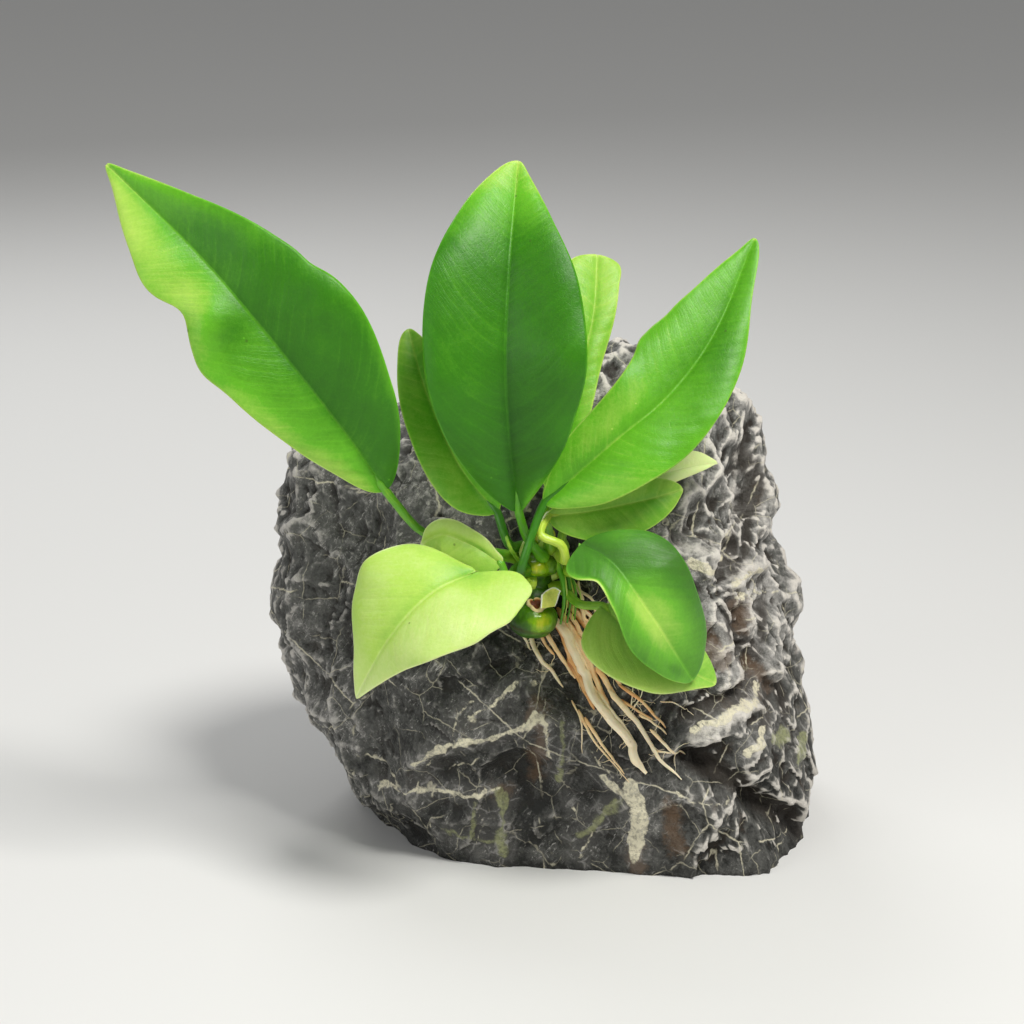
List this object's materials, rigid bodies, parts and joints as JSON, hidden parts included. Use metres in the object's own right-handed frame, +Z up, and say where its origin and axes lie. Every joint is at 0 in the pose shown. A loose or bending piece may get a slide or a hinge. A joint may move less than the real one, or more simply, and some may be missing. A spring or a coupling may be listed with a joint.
{
  "type": "anubias on stone",
  "caption": "Aquarium anubias with broad green leaves on thin stalks, rooted by its creeping stem on the front of a veined grey stone that rests on a flat foot.",
  "frame": {"origin": "middle of the stone's flat foot, on the surface it rests on", "axes": "+Z up, the plant grows on the stone's front, which faces -Y, and +X is to the right as seen from the front"},
  "size_m": [0.1721, 0.1417, 0.1784],
  "materials": {
    "grey_stone": "rough broken limestone with pale veins",
    "leaf_green": "leathery deep green blade with a soft gloss",
    "leaf_lime": "young lime green blade with a soft gloss",
    "stalk_green": "smooth green stalk",
    "stem_green": "smooth knobbly green creeping stem",
    "sheath_straw": "torn papery old sheath",
    "root_cream": "fibrous cream root"
  },
  "bodies": {
    "root": {"stone": "grey_stone", "creeping_stem": "stem_green", "old_sheath": "sheath_straw", "leaf_upper_left": "leaf_green", "leaf_centre": "leaf_green", "leaf_right": "leaf_green", "leaf_behind_left": "leaf_green", "leaf_behind_right": "leaf_lime", "leaf_low_right": "leaf_green", "leaf_pale_tip": "leaf_lime", "leaf_front_lime": "leaf_lime", "leaf_back_lime": "leaf_lime", "leaf_front_right": "leaf_green", "leaf_under_right": "leaf_green", "stalk_upper_left": "stalk_green", "stalk_centre": "stalk_green", "stalk_right": "stalk_green", "stalk_behind_left": "stalk_green", "stalk_behind_right": "stalk_green", "stalk_low_right": "stalk_green", "stalk_pale_tip": "stalk_green", "stalk_front_lime": "stalk_green", "stalk_back_lime": "stalk_green", "stalk_front_right": "stalk_green", "stalk_under_right": "stalk_green", "root_main": "root_cream", "root_right": "root_cream", "root_ochre": "root_cream", "root_left": "root_cream", "root_tan": "root_cream", "root_lower_left": "root_cream", "root_branch": "root_cream", "root_side": "root_cream"}
  },
  "joints": []
}
